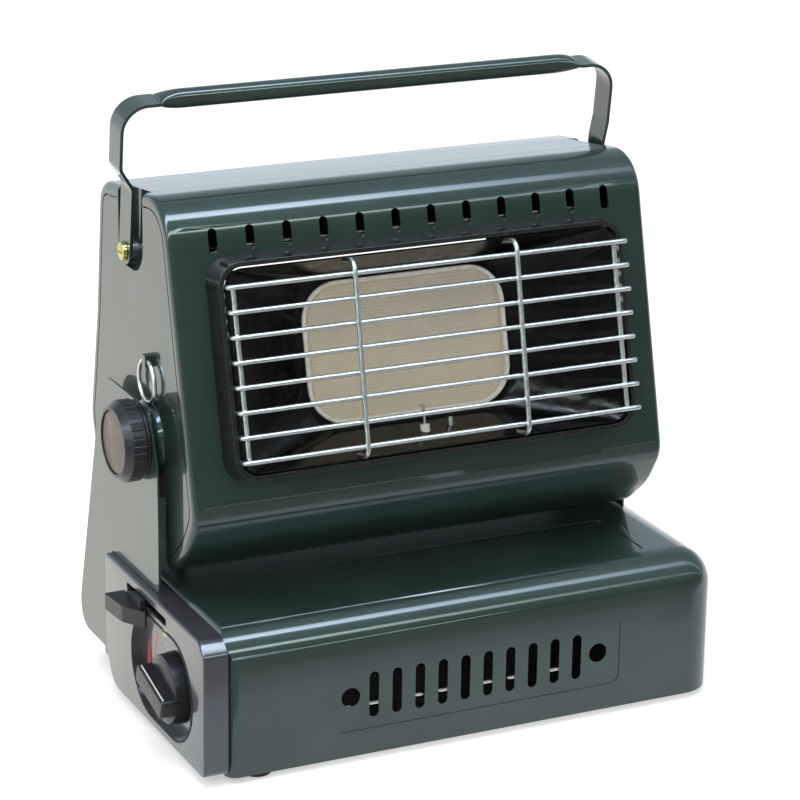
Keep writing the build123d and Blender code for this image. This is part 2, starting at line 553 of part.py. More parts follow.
parts["handle_strap_left"] = strap(LEFT_FOOT, 163.5, GRIP_FLAT - GRIP_LEFT)
parts["handle_strap_right"] = mirror_x(strap(RIGHT_FOOT, 159.6, GRIP_RIGHT + GRIP_FLAT))
grip_round = rectangle(-5.8, 5.8, -5.8, 5.8, 5.7)
grip = along_x(grip_round, GRIP_LEFT, GRIP_RIGHT)
grip -= rod_x(0, 0, 4.6, GRIP_LEFT + 4, GRIP_RIGHT - 4)
grip -= block(GRIP_LEFT + 6, GRIP_RIGHT - 6, -0.5, 0.5, -7, -4)
flat_end = rectangle(-STRAP_HALF, STRAP_HALF, -STRAP_THICK / 2, STRAP_THICK / 2, 0.8)
nose = rectangle(-6.6, 6.6, -4.6, 4.6, 4.5)
for full, thin in ((GRIP_LEFT, GRIP_LEFT - GRIP_FLAT), (GRIP_RIGHT, GRIP_RIGHT + GRIP_FLAT)):
    between = full + (thin - full) * 0.6
    stations = sorted([(full, grip_round), (between, nose), (thin, flat_end)], key=lambda pair: pair[0])
    sections = [Plane.YZ.offset(x) * face for x, face in stations]
    grip += loft(sections[:2]) + loft(sections[1:])
parts["handle_grip"] = turn_handle * Location((0, 0, HANDLE_TOP - 1 - HANDLE_Z)) * grip

screws = []
spacers = []
for side_x, foot in ((-1, LEFT_FOOT), (1, RIGHT_FOOT)):
    screw = rod_x(HANDLE_Y, HANDLE_Z, 3, -foot - 1.5, -148)
    cap = [(-foot - 3.3, 3), (-foot - 2.3, 5.4), (-foot - 0.3, 5.8)]
    screw += turned_x(HANDLE_Y, HANDLE_Z, cap)
    screw -= block(-foot - 4.5, -foot - 2.5, HANDLE_Y - 4.5, HANDLE_Y + 4.5, HANDLE_Z - 0.6, HANDLE_Z + 0.6)
    spacer = rod_x(HANDLE_Y, HANDLE_Z, 6, STRAP_THICK + 0.2 - foot, -148)
    spacer -= rod_x(HANDLE_Y, HANDLE_Z, 3, -170, -147)
    screws.append(screw if side_x < 0 else mirror_x(screw))
    spacers.append(spacer if side_x < 0 else mirror_x(spacer))
parts["handle_screws"] = group(screws)
parts["handle_spacers"] = group(spacers)

# ---------------------------------------------------------------- small screws
ON_FOOT = (Align.CENTER, Align.CENTER, Align.MIN)
base_screws = []
dome = [(BASE_RIGHT, 3.6), (BASE_RIGHT + 1.0, 3.2), (BASE_RIGHT + 1.8, 1.8)]
for y in (30, 180):
    base_screws.append(turned_x(y, 60, dome))
for x in (-120, 158):
    base_screws.append(Pos(x, BASE_BACK, 20) * Rot(-90, 0, 0) * Cone(3.6, 2.2, 1.6, align=ON_FOOT))
parts["base_screws"] = group(base_screws)
cover_screws = []
for x in (-140, 0, 140):
    for y, z, slope in ((197.98, 275, 6.54), (213.31, 176, 10.99)):
        head_shape = Cone(3.4, 2.4, 1.4, align=ON_FOOT)
        cover_screws.append(Pos(x, y, z) * Rot(slope - 90, 0, 0) * Pos(0, 0, 0.05) * head_shape)
parts["cover_screws"] = group(cover_screws)

# ---------------------------------------------------------------- shared frame and files
every = [Compound(children=shape.solids()) for shape in parts.values()]
whole = Compound(children=every).bounding_box()
centre = Pos(-(whole.min.X + whole.max.X) / 2, -(whole.min.Y + whole.max.Y) / 2, -whole.min.Z)
print("shift", centre.position)
for node, shape in parts.items():
    solids = shape.solids()
    placed = centre * (solids[0] if len(solids) == 1 else Compound(children=solids))
    placed.label = node
    export_step(placed, "parts/" + node + ".step")
    size = placed.bounding_box().size
    print(node, len(solids), round(size.X, 1), round(size.Y, 1), round(size.Z, 1))
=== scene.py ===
# %% [markdown]
# # Dressing a portable gas heater
# The heater has a tilting head in dark green enamel, a ceramic burner behind a plated wire guard,
# and a low base that hides a gas cartridge. The solids come from the CAD pack. This lesson gives
# each of them its finish, and makes the thin wires, the handle grip and the dial marks again as
# smooth surfaces, because those are the pieces where a coarse solid would show.

import json
import math

import bmesh
import bpy
import numpy as np
from mathutils import Matrix, Vector


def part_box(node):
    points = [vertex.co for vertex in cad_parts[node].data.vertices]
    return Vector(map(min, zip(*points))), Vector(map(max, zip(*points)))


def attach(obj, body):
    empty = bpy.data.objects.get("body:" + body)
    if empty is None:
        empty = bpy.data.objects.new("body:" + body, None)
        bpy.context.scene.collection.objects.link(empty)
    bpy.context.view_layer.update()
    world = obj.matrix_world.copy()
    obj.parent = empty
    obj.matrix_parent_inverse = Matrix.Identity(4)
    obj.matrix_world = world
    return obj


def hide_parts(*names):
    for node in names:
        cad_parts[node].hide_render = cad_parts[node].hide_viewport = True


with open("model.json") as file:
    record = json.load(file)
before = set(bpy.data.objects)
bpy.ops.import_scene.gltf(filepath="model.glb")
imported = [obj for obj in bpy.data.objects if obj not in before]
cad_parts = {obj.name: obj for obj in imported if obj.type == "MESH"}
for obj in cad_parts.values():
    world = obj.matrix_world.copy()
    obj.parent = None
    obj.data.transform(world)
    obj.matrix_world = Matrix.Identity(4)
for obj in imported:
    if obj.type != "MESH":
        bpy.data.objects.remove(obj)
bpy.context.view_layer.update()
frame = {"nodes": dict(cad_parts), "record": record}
nodes = frame["nodes"]
body_of_node = {n: b for b, names in frame["record"]["behaviour"]["bodies"].items() for n in names}
slot_of = {entry["node"]: entry["material_slot"] for entry in frame["record"]["subparts"]}


# %% [markdown]
# Every length below is read off the workshop drawing in millimetres. The drawing has its zero at
# the base's front bottom edge, and the base sheet starts 152.5 mm to the left of it. Two helpers
# carry drawing points into the scene: one for the standing parts, and one for the leaning head,
# whose front sheet leans back by one in four. The head turns on two bolts, and their axis is
# the centre of the angle knob too.

# %% From the drawing to the scene
LEAN = math.atan(0.25)
FRONT_Y, FRONT_Z = 65.5, 230.0
TILT_Y, TILT_Z = 114.0, 172.5
base_low, base_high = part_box("base_shell")
DRAWING_ZERO = np.array(base_low) * 1000.0 - np.array([-152.5, 0.0, 0.0])


def placed(points):
    """Drawing millimetres to scene metres: add the zero, divide by a thousand."""
    return (np.asarray(points, float) + DRAWING_ZERO) / 1000.0


def on_head(points):
    """Points in the head's own axes (across, into the head, up its front) to the drawing.
    The up axis is turned back by the lean about the front sheet's middle."""
    p = np.asarray(points, float)
    c, s = math.cos(LEAN), math.sin(LEAN)
    y = FRONT_Y + p[..., 1] * c + p[..., 2] * s
    z = FRONT_Z - p[..., 1] * s + p[..., 2] * c
    return np.stack([p[..., 0], y, z], -1)


print("drawing zero", DRAWING_ZERO.round(3), "lean", round(math.degrees(LEAN), 2), "degrees")


# %% [markdown]
# Finishes are shader trees. One function adds a node with its settings and links, one turns a
# hex colour into the linear numbers that Blender works in, and one starts a material with the
# Principled shader that everything here ends in. Three more stand for things that real surfaces
# have: a mottled colour, a worn gloss and a raised grain, each with its grain in millimetres.

# %% Helpers for finishes
def linear(hex_colour):
    """sRGB hex to linear RGBA: undo the display curve channel by channel."""
    channels = [int(hex_colour[i:i + 2], 16) / 255 for i in (1, 3, 5)]
    return tuple(c / 12.92 if c <= 0.04045 else ((c + 0.055) / 1.055) ** 2.4 for c in channels) + (1.0,)


def add(tree, kind, inputs=None, stops=None, **settings):
    """A node of that kind, with attribute settings, inputs (numbers or sockets) and colour stops."""
    made = tree.nodes.new(kind)
    for key, value in settings.items():
        setattr(made, key, value)
    for key, value in (inputs or {}).items():
        if isinstance(value, bpy.types.NodeSocket):
            tree.links.new(value, made.inputs[key])
        else:
            made.inputs[key].default_value = value
    if stops:
        line = made.color_ramp.elements
        while len(line) > 1:
            line.remove(line[-1])
        line[0].position, line[0].color = stops[0][0], linear(stops[0][1])
        for position, colour in stops[1:]:
            line.new(position).color = linear(colour)
    return made


def finish(name, **shader):
    """A material with a Principled shader; returns material, tree, shader and Object coordinates."""
    material = bpy.data.materials.new(name)
    material.use_nodes = True
    tree = material.node_tree
    tree.nodes.clear()
    principled = add(tree, "ShaderNodeBsdfPrincipled")
    for key, value in shader.items():
        socket = principled.inputs[key.replace("_", " ")]
        socket.default_value = linear(value) if isinstance(value, str) else value
    add(tree, "ShaderNodeOutputMaterial", {"Surface": principled.outputs[0]})
    where = add(tree, "ShaderNodeTexCoord").outputs["Object"]
    return material, tree, principled, where


def mottled_colour(tree, shader, where, grain_mm, tones, detail=3.0):
    """The base colour wanders between tones, given as (position, hex), in patches of grain_mm."""
    patches = add(tree, "ShaderNodeTexNoise",
                  {"Vector": where, "Scale": 1000.0 / grain_mm, "Detail": detail})
    tone = add(tree, "ShaderNodeValToRGB", {"Fac": patches.outputs[0]}, tones).outputs[0]
    tree.links.new(tone, shader.inputs["Base Color"])
    return tone


def worn_gloss(tree, shader, where, grain_mm, smooth, dull, detail=4.0):
    """Roughness between smooth and dull in patches of grain_mm."""
    patches = add(tree, "ShaderNodeTexNoise",
                  {"Vector": where, "Scale": 1000.0 / grain_mm, "Detail": detail})
    wear = add(tree, "ShaderNodeMapRange", {"Value": patches.outputs[0], "From Min": 0.3, "From Max": 0.7,
                                            "To Min": smooth, "To Max": dull})
    tree.links.new(wear.outputs["Result"], shader.inputs["Roughness"])


def raised_grain(tree, shader, where, grain_mm, depth_mm, detail=2.0, under=None):
    """A relief of depth_mm in blobs of grain_mm, on top of another relief where one is given."""
    bumps = add(tree, "ShaderNodeTexNoise",
                {"Vector": where, "Scale": 1000.0 / grain_mm, "Detail": detail})
    inputs = {"Height": bumps.outputs[0], "Distance": depth_mm / 1000.0}
    if under is not None:
        inputs["Normal"] = under
    normal = add(tree, "ShaderNodeBump", inputs).outputs[0]
    tree.links.new(normal, shader.inputs["Normal"])
    tree.links.new(normal, shader.inputs["Coat Normal"])
    return normal


print("helpers ready")


# %% [markdown]
# The body is stove enamel sprayed on drawn steel sheet: a deep green-black colour under a clear,
# hard gloss. Two reliefs make it read as sprayed sheet: orange peel of about a millimetre and
# the slow waves that a press leaves, about the size of a hand. Dust settles as faint pale
# specks. The gloss itself is a coat, so the mirror stays sharp while the colour stays soft.

# %% Green enamel
DUST_MM = 0.9
PEEL_MM = 1.4
PRESS_WAVE_MM = 80.0


def green_enamel(name, wave_mm):
    """Stove enamel on pressed sheet: a sharp coat over a soft colour, with peel and press waves."""
    material, tree, shader, where = finish(
        name, Base_Color="#21342f", Roughness=0.4, Specular_IOR_Level=0.3,
        Coat_Weight=1.0, Coat_Roughness=0.03, Coat_IOR=1.6)
    tone = mottled_colour(tree, shader, where, 38.0, [(0.3, "#1d302b"), (0.7, "#243833")], 2.0)
    specks = add(tree, "ShaderNodeTexNoise", {"Vector": where, "Scale": 1000.0 / DUST_MM, "Detail": 2.0})
    dust = add(tree, "ShaderNodeMapRange",
               {"Value": specks.outputs[0], "From Min": 0.7, "From Max": 0.78})
    mix = add(tree, "ShaderNodeMix", {"Factor": dust.outputs[0], "A": tone, "B": linear("#37494a")},
              data_type="RGBA")
    tree.links.new(mix.outputs["Result"], shader.inputs["Base Color"])
    waves = raised_grain(tree, shader, where, PRESS_WAVE_MM, wave_mm, 1.0)
    raised_grain(tree, shader, where, PEEL_MM, 0.003, 1.0, waves)
    return material


enamel = green_enamel("green_stove_enamel", 0.22)
strap_enamel = green_enamel("green_enamel_on_strap", 0.04)
print("enamel", enamel.name, strap_enamel.name)


# %% [markdown]
# The window frame and the reflector run hot, so they carry a black stove paint. On the
# reflector the steel shows through a thin dark film that heat has polished, and straw and blue
# tints show near the burner, where the steel has been hottest.

# %% Black stove paint and heat-tinted reflector
black_paint, tree, shader, where = finish(
    "black_stove_paint", Base_Color="#161515", Roughness=0.35, Coat_Weight=1.0, Coat_Roughness=0.07)
mottled_colour(tree, shader, where, 9.0, [(0.3, "#131212"), (0.75, "#1c1a1a")])
worn_gloss(tree, shader, where, 5.0, 0.24, 0.42)
raised_grain(tree, shader, where, 1.1, 0.004)

reflector_steel, tree, shader, where = finish(
    "heat_tinted_steel", Base_Color="#2c2928", Metallic=0.85, Roughness=0.2)
mottled_colour(tree, shader, where, 22.0,
               [(0.25, "#1b1a1b"), (0.5, "#292727"), (0.7, "#302a27"), (0.85, "#252b35")])
worn_gloss(tree, shader, where, 6.0, 0.12, 0.3)
raised_grain(tree, shader, where, 30.0, 0.25, 1.0)
print("hot parts", black_paint.name, reflector_steel.name)

# %% [markdown]
# The burner plaque is unglazed ceramic, pierced by small gas holes about two millimetres apart.
# The holes are a grid of dots in the plaque's own axes, where a wave across and a wave up both
# peak. Each hole is painted a little darker, as painted shade for the hollow it is, and a bump
# sinks it. It has been fired, so faint warm patches show. The insulator is the same clay, but white and
# glazed.

# %% Ceramics
burner_clay, tree, shader, where = finish("pierced_burner_ceramic", Base_Color="#cbc5b5", Roughness=0.9)
HOLE_PITCH_MM = 2.1
turned = add(tree, "ShaderNodeMapping", {"Vector": where, "Rotation": (LEAN, 0, 0)}).outputs[0]
split = add(tree, "ShaderNodeSeparateXYZ", {"Vector": turned})
waves = []
for axis in ("X", "Z"):
    turn = add(tree, "ShaderNodeMath", {0: split.outputs[axis], 1: 2000 * math.pi / HOLE_PITCH_MM},
               operation="MULTIPLY")
    waves.append(add(tree, "ShaderNodeMath", {0: turn.outputs[0]}, operation="COSINE").outputs[0])
both = add(tree, "ShaderNodeMath", {0: waves[0], 1: waves[1]}, operation="ADD").outputs[0]
hole = add(tree, "ShaderNodeMapRange", {"Value": both, "From Min": 1.0, "From Max": 1.5}).outputs[0]
stain = mottled_colour(tree, shader, where, 34.0, [(0.3, "#bfb9a8"), (0.5, "#c8c0ab"), (0.7, "#cdc1a8")])
# painted shade: each hole's colour is pulled a sixth of the way to a dark tone, standing in for the shade
# inside the hole
hole_shade = add(tree, "ShaderNodeMath", {0: hole, 1: 0.16}, operation="MULTIPLY").outputs[0]
mix = add(tree, "ShaderNodeMix", {"Factor": hole_shade, "A": stain, "B": linear("#7d7767")}, data_type="RGBA")
tree.links.new(mix.outputs["Result"], shader.inputs["Base Color"])
pit = add(tree, "ShaderNodeBump", {"Height": hole, "Distance": 0.0002}, invert=True)
tree.links.new(pit.outputs[0], shader.inputs["Normal"])

rim_clay, tree, shader, where = finish("pale_sealing_rim", Base_Color="#dedbd2", Roughness=0.6)
mottled_colour(tree, shader, where, 4.0, [(0.3, "#d0ccc0"), (0.7, "#e6e3db")], 4.0)

insulator, tree, shader, where = finish(
    "glazed_insulator", Base_Color="#e9e6de", Roughness=0.25, Coat_Weight=0.6, Coat_Roughness=0.05)
mottled_colour(tree, shader, where, 2.5, [(0.3, "#dedad0"), (0.7, "#f0eee8")], 2.0)
print("ceramics", burner_clay.name, rim_clay.name, insulator.name)


# %% [markdown]
# The metals: bright plated wire, dull zinc sheet inside, brass fittings, a bronze-coloured
# aluminium disc turned on a lathe, and cast alloy. Each keeps the metal's own colour and
# differs in how rough it is and in what its making left behind.

# %% Metals
def metal(name, low, high, smooth, dull, grain_mm, depth_mm):
    """A bare or plated metal: two tones, a range of roughness, and a fine relief."""
    material, tree, shader, where = finish(name, Base_Color=high, Metallic=1.0, Roughness=smooth)
    mottled_colour(tree, shader, where, grain_mm, [(0.3, low), (0.7, high)])
    worn_gloss(tree, shader, where, grain_mm, smooth, dull)
    raised_grain(tree, shader, where, grain_mm, depth_mm)
    return material


bright_wire = metal("bright_plated_wire", "#d6d4d2", "#ebe9e6", 0.3, 0.42, 3.0, 0.008)
zinc_sheet = metal("zinc_plated_sheet", "#8e8f8c", "#b1b2ae", 0.32, 0.5, 7.0, 0.02)
brass = metal("turned_brass", "#c6b873", "#ddd39c", 0.2, 0.34, 2.0, 0.01)
cast_alloy = metal("die_cast_alloy", "#7c7d7d", "#9b9c9c", 0.45, 0.6, 1.2, 0.06)

bronze, tree, shader, where = finish(
    "lathe_turned_bronze_disc", Base_Color="#7a6e67", Metallic=0.7, Roughness=0.32)
mottled_colour(tree, shader, where, 12.0, [(0.3, "#5f544e"), (0.7, "#746a63")])
GROOVE_MM = 0.6
knob_centre = placed([0, TILT_Y, TILT_Z])
centred = add(tree, "ShaderNodeMapping", {"Vector": where, "Location": tuple(-knob_centre)}).outputs[0]
split = add(tree, "ShaderNodeSeparateXYZ", {"Vector": centred})
flat = add(tree, "ShaderNodeCombineXYZ", {"X": split.outputs["Y"], "Y": split.outputs["Z"]}).outputs[0]
far = add(tree, "ShaderNodeVectorMath", {0: flat}, operation="LENGTH").outputs["Value"]
turns = add(tree, "ShaderNodeMath", {0: far, 1: 2000 * math.pi / GROOVE_MM},
            operation="MULTIPLY").outputs[0]
groove = add(tree, "ShaderNodeMath", {0: turns}, operation="SINE").outputs[0]
ringed = add(tree, "ShaderNodeBump", {"Height": groove, "Distance": 0.00002})
tree.links.new(ringed.outputs[0], shader.inputs["Normal"])
print("metals", bright_wire.name, zinc_sheet.name, brass.name, cast_alloy.name, bronze.name)


# %% [markdown]
# The plastics are moulded. The control side is a dark grey gloss, the knobs and the lever are
# black with a slightly dull skin, and the feet are rubber. A printed line, a few coloured dial
# marks and a plain tin-plate lacquer finish the list.

# %% Plastics, rubber and prints
def moulded(name, low, high, rough, grain_mm, depth_mm, coat=0.0, shine=0.05):
    """Injection moulded plastic or rubber: two close tones and the grain of the mould."""
    material, tree, shader, where = finish(
        name, Base_Color=high, Roughness=rough, Coat_Weight=coat, Coat_Roughness=shine)
    mottled_colour(tree, shader, where, grain_mm, [(0.3, low), (0.7, high)])
    raised_grain(tree, shader, where, grain_mm, depth_mm)
    return material


grey_gloss = moulded("dark_grey_gloss_abs", "#37373c", "#3f3f45", 0.3, 1.5, 0.003, 1.0, 0.06)
black_skin = moulded("black_moulded_plastic", "#19181b", "#211f23", 0.42, 0.8, 0.012, 0.3, 0.2)
matt_black = moulded("matt_black_trim", "#0e0e0f", "#151516", 0.6, 0.8, 0.006)
foot_rubber = moulded("black_foot_rubber", "#101010", "#1a1a1a", 0.75, 0.9, 0.03)
white_print = moulded("white_printed_line", "#dcdcd8", "#efefec", 0.45, 1.0, 0.002)
red_print = moulded("red_dial_print", "#a8343b", "#c23f47", 0.4, 1.0, 0.002)
pink_print = moulded("pink_dial_print", "#c98a94", "#d79aa2", 0.4, 1.0, 0.002)
yellow_print = moulded("yellow_dial_print", "#cfc27a", "#ddd18c", 0.4, 1.0, 0.002)
tin_lacquer = moulded("plain_tinplate_lacquer", "#b9bcc0", "#c8cbcf", 0.3, 12.0, 0.004, 0.6)
print("plastics and prints ready")

# %% [markdown]
# The solids arrive as loose triangles. For a clean shine each visible one is copied, its
# points are joined, flat areas become single faces, and every edge gets a tiny rounded bevel,
# because no pressed or moulded edge on the real thing is razor sharp. The copy then stands for
# the CAD node and rides on the same body. Pieces that are curved both ways keep all their
# triangles, because joining nearly flat ones would show as facets.

# %% Dress a solid
SLOTS = {"green_enamel": enamel, "black_enamel": black_paint, "reflector_steel": reflector_steel,
         "plated_sheet": zinc_sheet, "chrome_wire": bright_wire, "ceramic": burner_clay,
         "white_ceramic": insulator, "grey_plastic": grey_gloss, "black_plastic": black_skin,
         "white_paint": white_print, "bronze_disc": bronze, "rubber": foot_rubber, "brass": brass,
         "die_cast": cast_alloy, "green_strap": strap_enamel, "can_paint": tin_lacquer}
FLAT, CREASE, BEVELLED = math.radians(0.02), math.radians(32), math.radians(38)
REMADE = ("guard_bars", "guard_uprights", "guard_cross_wires", "wire_eye", "handle_grip")
CURVED = ("reflector", "window_frame")


def dress(name, round_mm, material=None):
    """Copy of a solid with joined points, smooth curves and edges rounded by round_mm."""
    mesh = nodes[name].data.copy()
    work = bmesh.new()
    work.from_mesh(mesh)
    bmesh.ops.remove_doubles(work, verts=work.verts, dist=1e-6)
    if name not in CURVED:
        bmesh.ops.dissolve_limit(work, angle_limit=FLAT, verts=work.verts, edges=work.edges)
    for face in work.faces:
        face.smooth = True
    for edge in work.edges:
        edge.smooth = not (len(edge.link_faces) == 2 and edge.calc_face_angle(0) > CREASE)
    work.to_mesh(mesh)
    work.free()
    mesh.materials.clear()
    mesh.materials.append(material or SLOTS[slot_of[name]])
    piece = bpy.data.objects.new("dressed_" + name, mesh)
    bpy.context.scene.collection.objects.link(piece)
    bevel = piece.modifiers.new("rounded_edges", "BEVEL")
    bevel.width = round_mm / 1000.0
    bevel.segments = 2
    bevel.limit_method = "ANGLE"
    bevel.angle_limit = BEVELLED
    bevel.harden_normals = True
    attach(piece, body_of_node[name])
    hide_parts(name)
    return piece


FINE_EDGE_MM = 0.15
EDGE_MM = {"base_shell": 0.35, "control_panel": 0.3, "head_front_shell": 0.35, "head_left_side": 0.35,
           "head_right_side": 0.35, "head_rear_cover": 0.35, "left_ear": 0.35, "right_ear": 0.35,
           "window_frame": 1.2, "plaque_rim": 0.8, "lock_lever": 0.4, "control_knob": 0.4,
           "angle_knob": 0.4, "handle_strap_left": 0.4, "handle_strap_right": 0.4}
SPECIAL = {"plaque_rim": rim_clay, "dial_rim": matt_black, "friction_washers": foot_rubber}
dressed = {}
for name in sorted(nodes):
    if name not in REMADE:
        dressed[name] = dress(name, EDGE_MM.get(name, FINE_EDGE_MM), SPECIAL.get(name))
print("dressed", len(dressed), "solids")


# %% [markdown]
# Wires are made again as smooth tubes. Each wire lies in one plane, so a ring of points round
# the path needs no twisting: one direction of the ring is the plane's own normal and the other
# is at right angles to both. The ends are closed with small domes, as a cropped and plated
# wire has. A closed path, such as a ring, joins its last ring of points to its first.

# %% Paths and tubes
def rounded_path(corners, radius, step_mm=7.2):
    """Polyline through corners with each inner corner turned on an arc of the radius: the arc
    starts and ends at radius / tan(half the corner's angle) from the corner."""
    corners = np.asarray(corners, float)
    runs = [corners[:1]]
    for before, corner, after in zip(corners[:-2], corners[1:-1], corners[2:]):
        u = (before - corner) / np.linalg.norm(before - corner)
        v = (after - corner) / np.linalg.norm(after - corner)
        half = math.acos(float(np.clip(u @ v, -1, 1))) / 2
        middle = corner + (u + v) / np.linalg.norm(u + v) * radius / math.sin(half)
        start = corner + u * radius / math.tan(half)
        end = corner + v * radius / math.tan(half)
        sweep = math.pi - 2 * half
        t = np.linspace(0, sweep, max(6, int(sweep * radius / 0.35)))[:, None]
        runs.append(middle + (start - middle) * np.sin(sweep - t) / math.sin(sweep)
                    + (end - middle) * np.sin(t) / math.sin(sweep))
    runs.append(corners[-1:])
    path = np.concatenate(runs)
    gaps = np.linalg.norm(np.diff(path, axis=0), axis=1)
    along = np.concatenate([[0], np.cumsum(gaps)])
    extra = np.arange(0, along[-1], step_mm)
    marks = np.unique(np.concatenate([along, extra]).round(4))
    return np.stack([np.interp(marks, along, path[:, k]) for k in range(3)], -1)


def skin(name, grid, material, body, closed_along=False):
    """A mesh from a grid of points (along, around): neighbours become quads, the around direction
    closes on itself, and the two ends are closed by one flat face each unless along closes too."""
    along, around = grid.shape[:2]
    index = np.arange(along * around).reshape(along, around)
    low = index if closed_along else index[:-1]
    high = np.roll(index, -1, 0) if closed_along else index[1:]
    quads = np.stack([low, np.roll(low, -1, 1), np.roll(high, -1, 1), high], -1).reshape(-1, 4)
    faces = quads.tolist()
    if not closed_along:
        faces += [index[0, ::-1].tolist(), index[-1].tolist()]
    mesh = bpy.data.meshes.new(name)
    mesh.from_pydata((grid.reshape(-1, 3)).tolist(), [], faces)
    work = bmesh.new()
    work.from_mesh(mesh)
    bmesh.ops.recalc_face_normals(work, faces=work.faces)
    for face in work.faces:
        face.smooth = True
    work.to_mesh(mesh)
    work.free()
    mesh.materials.append(material)
    piece = bpy.data.objects.new(name, mesh)
    bpy.context.scene.collection.objects.link(piece)
    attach(piece, body)
    return piece


def tube(path, normal, radius, sides=20, closed=False):
    """Round tube along a flat path: point = path + radius x size x (cos a x normal + sin a x across),
    where across is the path's direction crossed with the plane's normal. The last rings run out
    and shrink on a quarter circle, which makes the domed ends."""
    normal = np.asarray(normal, float)
    if closed:
        ahead = np.roll(path, -1, 0) - np.roll(path, 1, 0)
    else:
        ahead = np.gradient(path, axis=0)
    ahead /= np.linalg.norm(ahead, axis=1)[:, None]
    size = np.ones(len(path))
    if not closed:
        lift = np.radians([80, 60, 35, 12])
        first = path[0] + ahead[0] * radius * 0.6 * (1 - np.sin(lift))[:, None]
        last = path[-1] - ahead[-1] * radius * 0.6 * (1 - np.sin(lift))[:, None]
        path = np.concatenate([first, path[1:-1], last[::-1]])
        ahead = np.concatenate([np.repeat(ahead[:1], 4, 0), ahead[1:-1], np.repeat(ahead[-1:], 4, 0)])
        size = np.concatenate([np.cos(lift), size[1:-1], np.cos(lift)[::-1]])
    across = np.cross(ahead, normal)
    a = np.linspace(0, 2 * math.pi, sides, endpoint=False)
    ring = np.cos(a)[None, :, None] * normal + np.sin(a)[None, :, None] * across[:, None, :]
    return path[:, None, :] + radius * size[:, None, None] * ring


print("tube helpers ready")

# %% [markdown]
# The guard is eight level bars with their left ends bent back to the reflector's rim, two short
# uprights that hold the bars together, and two long cross wires in front, hooked back through the
# reflector. The bars are 3 mm wire on a 14.4 mm pitch. Where wires cross they are spot welded,
# and each weld leaves a small bead, here a squashed ball.

# %% Wire guard
WIRE_R = 1.5
BAR_LEVELS = 42.9 - 14.4 * np.arange(8)
BAR_DEPTH = -17.8
BAR_LEFT, BAR_TAIL, BAR_RIGHT = -126.6, -11.1, 131.4
UPRIGHT_X, UPRIGHT_DEPTH, UPRIGHT_LOW, UPRIGHT_HIGH = 123.5, -14.8, -59.0, 44.0
CROSS_X, CROSS_DEPTH, CROSS_TAIL = (-50.6, 54.6), -20.8, 3.0
CROSS_LOW, CROSS_HIGH, CROSS_MIDDLE = -64.0, 50.8, -8.5
CROSS_TILT = math.radians(1.05)
WELD = (1.9, 0.9, 1.9)
WELD_DEPTH = -19.3


def joined(pieces, name, node):
    """Several pieces become one object that stands for the CAD node."""
    bpy.ops.object.select_all(action="DESELECT")
    for piece in pieces:
        piece.select_set(True)
    bpy.context.view_layer.objects.active = pieces[0]
    bpy.ops.object.join()
    whole = pieces[0]
    whole.name = name
    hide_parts(node)
    return whole


def bead(centre, size, sides=10):
    """Squashed ball: latitude b and longitude a give size x (cos b cos a, cos b sin a, sin b)."""
    b = np.radians(np.linspace(-86, 86, 7))[:, None]
    a = np.linspace(0, 2 * math.pi, sides, endpoint=False)[None, :]
    shape = np.stack([np.cos(b) * np.cos(a), np.cos(b) * np.sin(a), np.sin(b) + 0 * a], -1)
    return centre + shape * np.asarray(size, float)


bars = []
for level in BAR_LEVELS:
    corners = [(BAR_LEFT, BAR_TAIL, level), (BAR_LEFT, BAR_DEPTH, level), (BAR_RIGHT, BAR_DEPTH, level)]
    grid = tube(rounded_path(corners, 3.0), (0, 0, 1), WIRE_R)
    bars.append(skin("bar", placed(on_head(grid)), bright_wire, "head"))
guard_bars = joined(bars, "guard_bars_smooth", "guard_bars")

uprights = []
for x in (-UPRIGHT_X, UPRIGHT_X):
    corners = [(x, UPRIGHT_DEPTH, UPRIGHT_LOW), (x, UPRIGHT_DEPTH, UPRIGHT_HIGH)]
    grid = tube(rounded_path(corners, 1.0), (0, 1, 0), WIRE_R)
    uprights.append(skin("upright", placed(on_head(grid)), bright_wire, "head"))
guard_uprights = joined(uprights, "guard_uprights_smooth", "guard_uprights")

wires, beads = [], []
for x in CROSS_X:
    corners = [(0, CROSS_TAIL, CROSS_HIGH), (0, CROSS_DEPTH, CROSS_HIGH),
               (0, CROSS_DEPTH, CROSS_LOW), (0, CROSS_TAIL, CROSS_LOW)]
    grid = tube(rounded_path(corners, 6.0), (1, 0, 0), WIRE_R)
    grid[..., 0] += x + (grid[..., 2] - CROSS_MIDDLE) * math.tan(CROSS_TILT)
    wires.append(skin("cross_wire", placed(on_head(grid)), bright_wire, "head"))
    for level in BAR_LEVELS:
        place = (x + (level - CROSS_MIDDLE) * math.tan(CROSS_TILT), WELD_DEPTH, level)
        beads.append(skin("weld", placed(on_head(bead(place, WELD))), bright_wire, "head"))
guard_wires = joined(wires + beads, "guard_cross_wires_smooth", "guard_cross_wires")
print("wires", [round(len(o.data.polygons)) for o in (guard_bars, guard_uprights, guard_wires)])

# %% [markdown]
# The lifting eye is one turn of plated wire, a closed circle carried round its middle. The grip
# is a steel tube rolled from sheet and pressed flat where it meets the strap. Its section is a
# circle in the middle, a flat bar at the ends, and a nose like a quarter ellipse between; a rolled
# seam runs along the underside as a shallow groove.

# %% Lifting eye and handle grip
EYE_X, EYE_Y, EYE_Z, EYE_R, EYE_WIRE_R = -157.2, 111.0, 208.6, 12.7, 1.25
turn = np.linspace(0, 2 * math.pi, 72, endpoint=False)
circle = np.stack([0 * turn + EYE_X, EYE_Y + EYE_R * np.cos(turn), EYE_Z + EYE_R * np.sin(turn)], -1)
eye_grid = placed(tube(circle, (1, 0, 0), EYE_WIRE_R, 18, True))
eye = skin("wire_eye_smooth", eye_grid, bright_wire, "head", True)
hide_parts("wire_eye")

